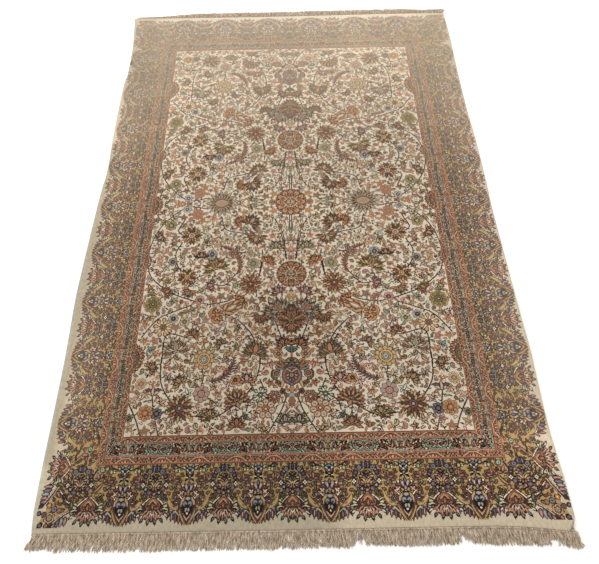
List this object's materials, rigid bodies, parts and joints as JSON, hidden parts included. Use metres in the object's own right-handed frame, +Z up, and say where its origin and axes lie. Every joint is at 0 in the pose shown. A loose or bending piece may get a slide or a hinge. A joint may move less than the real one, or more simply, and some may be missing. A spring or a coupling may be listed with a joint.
{
  "type": "kashmir silk rug",
  "caption": "Flat hand-knotted silk rug with a flower-and-vase pile design and a warp fringe along both short ends.",
  "frame": {"origin": "on the floor under the middle of the pile, at the point of the underside mount", "axes": "+Z up out of the pile, +Y along the rug to its far short end, +X across it to the right"},
  "size_m": [1.2569, 1.911, 0.007],
  "materials": {
    "silk_pile": "clipped silk pile with a low sheen, in gold, ivory, rust, teal, navy and mauve",
    "warp_silk": "undyed silk yarn, matt with a faint sheen"
  },
  "bodies": {
    "root": {"pile_body": "silk_pile", "fringe_near": "warp_silk", "fringe_far": "warp_silk"}
  },
  "joints": []
}
